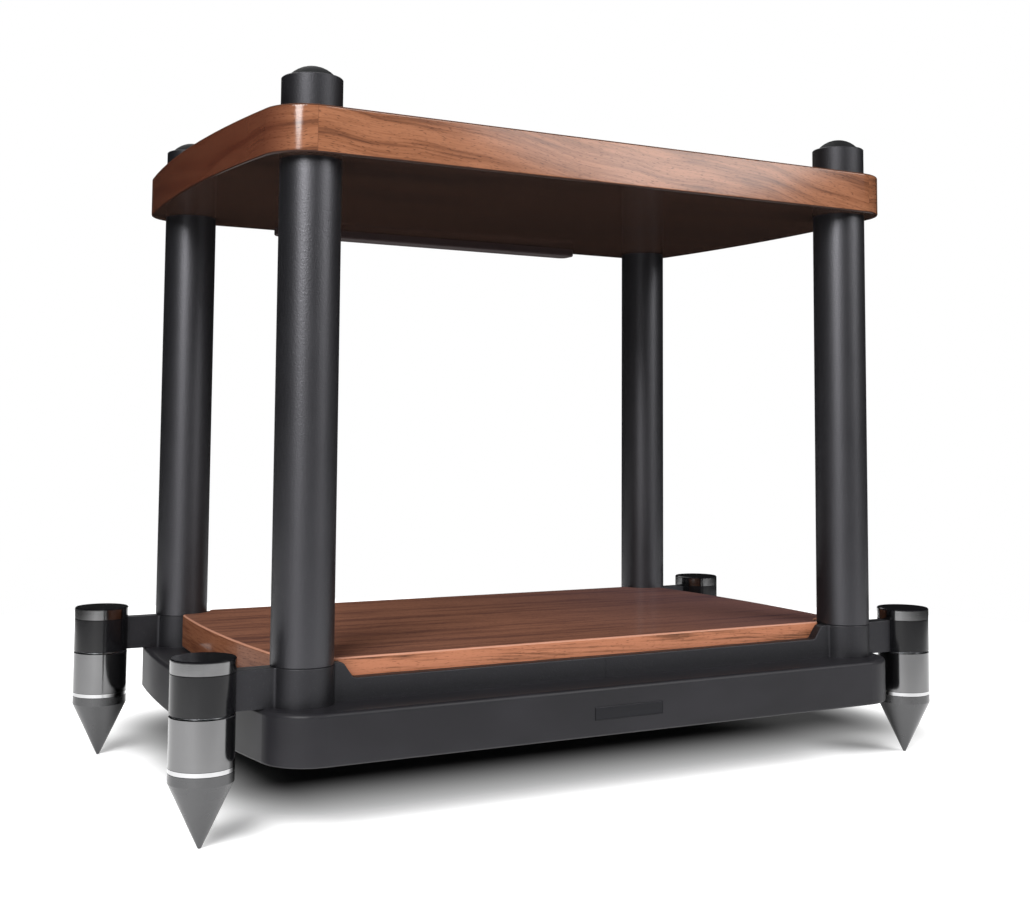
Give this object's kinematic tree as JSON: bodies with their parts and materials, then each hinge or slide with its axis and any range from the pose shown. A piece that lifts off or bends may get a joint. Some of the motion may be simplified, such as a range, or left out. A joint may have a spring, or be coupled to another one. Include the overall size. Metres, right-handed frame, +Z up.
{
  "type": "speaker stand",
  "caption": "Low loudspeaker stand: walnut top board on round black pillars above a walnut shelf and black plinth, on screw-adjusted spike feet held by outrigger arms.",
  "frame": {"origin": "on the floor, under the middle of the stand, level with the spike tips", "axes": "+X to the right along the front, +Y to the rear, +Z up"},
  "size_m": [0.611, 0.35, 0.4863],
  "materials": {
    "walnut": "walnut veneer under clear gloss lacquer",
    "black_powder": "fine-textured satin black powder coat on steel",
    "plinth_black": "satin black paint on fibreboard",
    "gloss_black": "gloss black",
    "gunmetal": "polished gunmetal plating",
    "bright_chrome": "bright chrome",
    "black_rubber": "matt black rubber",
    "zinc_steel": "zinc-plated steel",
    "nylon": "black nylon"
  },
  "bodies": {
    "stand": {"top_board": "walnut", "lower_board": "walnut", "plinth": "plinth_black", "stiffener_bar": "black_powder", "rail_screws": "zinc_steel", "stiffener_screws": "zinc_steel", "board_pads": "black_rubber", "cap_domes": "black_rubber", "tie_rods": "zinc_steel", "base_nuts": "zinc_steel", "base_washers": "zinc_steel", "tube_bushes": "nylon", "pillar_front_left": "black_powder", "pillar_cap_front_left": "black_powder", "outrigger_front_left": "black_powder", "eye_sleeve_front_left": "gloss_black", "pillar_front_right": "black_powder", "pillar_cap_front_right": "black_powder", "outrigger_front_right": "black_powder", "eye_sleeve_front_right": "gloss_black", "pillar_rear_left": "black_powder", "pillar_cap_rear_left": "black_powder", "outrigger_rear_left": "black_powder", "eye_sleeve_rear_left": "gloss_black", "pillar_rear_right": "black_powder", "pillar_cap_rear_right": "black_powder", "outrigger_rear_right": "black_powder", "eye_sleeve_rear_right": "gloss_black"},
    "foot_carrier_front_left": {"foot_washer_front_left": "nylon"},
    "foot_front_left": {"spike_cone_front_left": "gunmetal", "trim_ring_front_left": "bright_chrome", "foot_body_front_left": "gunmetal", "foot_stud_front_left": "zinc_steel"},
    "lock_knob_front_left": {"lock_ring_front_left": "gunmetal", "lock_cap_front_left": "gloss_black"},
    "foot_carrier_front_right": {"foot_washer_front_right": "nylon"},
    "foot_front_right": {"spike_cone_front_right": "gunmetal", "trim_ring_front_right": "bright_chrome", "foot_body_front_right": "gunmetal", "foot_stud_front_right": "zinc_steel"},
    "lock_knob_front_right": {"lock_ring_front_right": "gunmetal", "lock_cap_front_right": "gloss_black"},
    "foot_carrier_rear_left": {"foot_washer_rear_left": "nylon"},
    "foot_rear_left": {"spike_cone_rear_left": "gunmetal", "trim_ring_rear_left": "bright_chrome", "foot_body_rear_left": "gunmetal", "foot_stud_rear_left": "zinc_steel"},
    "lock_knob_rear_left": {"lock_ring_rear_left": "gunmetal", "lock_cap_rear_left": "gloss_black"},
    "foot_carrier_rear_right": {"foot_washer_rear_right": "nylon"},
    "foot_rear_right": {"spike_cone_rear_right": "gunmetal", "trim_ring_rear_right": "bright_chrome", "foot_body_rear_right": "gunmetal", "foot_stud_rear_right": "zinc_steel"},
    "lock_knob_rear_right": {"lock_ring_rear_right": "gunmetal", "lock_cap_rear_right": "gloss_black"}
  },
  "joints": [
    {"name": "foot_travel_front_left", "type": "slide", "parent": "stand", "child": "foot_carrier_front_left", "axis": [0, 0, -1], "range_m": [0, 0.005]},
    {"name": "foot_turn_front_left", "type": "hinge", "parent": "foot_carrier_front_left", "child": "foot_front_left", "pos_m": [-0.2855, -0.1395, 0.08], "axis": [0, 0, -1], "range_deg": [0, 1201]},
    {"name": "lock_turn_front_left", "type": "hinge", "parent": "stand", "child": "lock_knob_front_left", "pos_m": [-0.2855, -0.1395, 0.1045], "axis": [0, 0, 1], "range_deg": [0, 90]},
    {"name": "foot_travel_front_right", "type": "slide", "parent": "stand", "child": "foot_carrier_front_right", "axis": [0, 0, -1], "range_m": [0, 0.005]},
    {"name": "foot_turn_front_right", "type": "hinge", "parent": "foot_carrier_front_right", "child": "foot_front_right", "pos_m": [0.2855, -0.1395, 0.08], "axis": [0, 0, -1], "range_deg": [0, 1201]},
    {"name": "lock_turn_front_right", "type": "hinge", "parent": "stand", "child": "lock_knob_front_right", "pos_m": [0.2855, -0.1395, 0.1045], "axis": [0, 0, 1], "range_deg": [0, 90]},
    {"name": "foot_travel_rear_left", "type": "slide", "parent": "stand", "child": "foot_carrier_rear_left", "axis": [0, 0, -1], "range_m": [0, 0.005]},
    {"name": "foot_turn_rear_left", "type": "hinge", "parent": "foot_carrier_rear_left", "child": "foot_rear_left", "pos_m": [-0.2855, 0.1395, 0.08], "axis": [0, 0, -1], "range_deg": [0, 1201]},
    {"name": "lock_turn_rear_left", "type": "hinge", "parent": "stand", "child": "lock_knob_rear_left", "pos_m": [-0.2855, 0.1395, 0.1045], "axis": [0, 0, 1], "range_deg": [0, 90]},
    {"name": "foot_travel_rear_right", "type": "slide", "parent": "stand", "child": "foot_carrier_rear_right", "axis": [0, 0, -1], "range_m": [0, 0.005]},
    {"name": "foot_turn_rear_right", "type": "hinge", "parent": "foot_carrier_rear_right", "child": "foot_rear_right", "pos_m": [0.2855, 0.1395, 0.08], "axis": [0, 0, -1], "range_deg": [0, 1201]},
    {"name": "lock_turn_rear_right", "type": "hinge", "parent": "stand", "child": "lock_knob_rear_right", "pos_m": [0.2855, 0.1395, 0.1045], "axis": [0, 0, 1], "range_deg": [0, 90]}
  ],
  "couplings": [
    {"joint": "foot_turn_front_left", "follows": "foot_travel_front_left", "rad_per_m": 4188.8},
    {"joint": "foot_turn_front_right", "follows": "foot_travel_front_right", "rad_per_m": 4188.8},
    {"joint": "foot_turn_rear_left", "follows": "foot_travel_rear_left", "rad_per_m": 4188.8},
    {"joint": "foot_turn_rear_right", "follows": "foot_travel_rear_right", "rad_per_m": 4188.8}
  ]
}
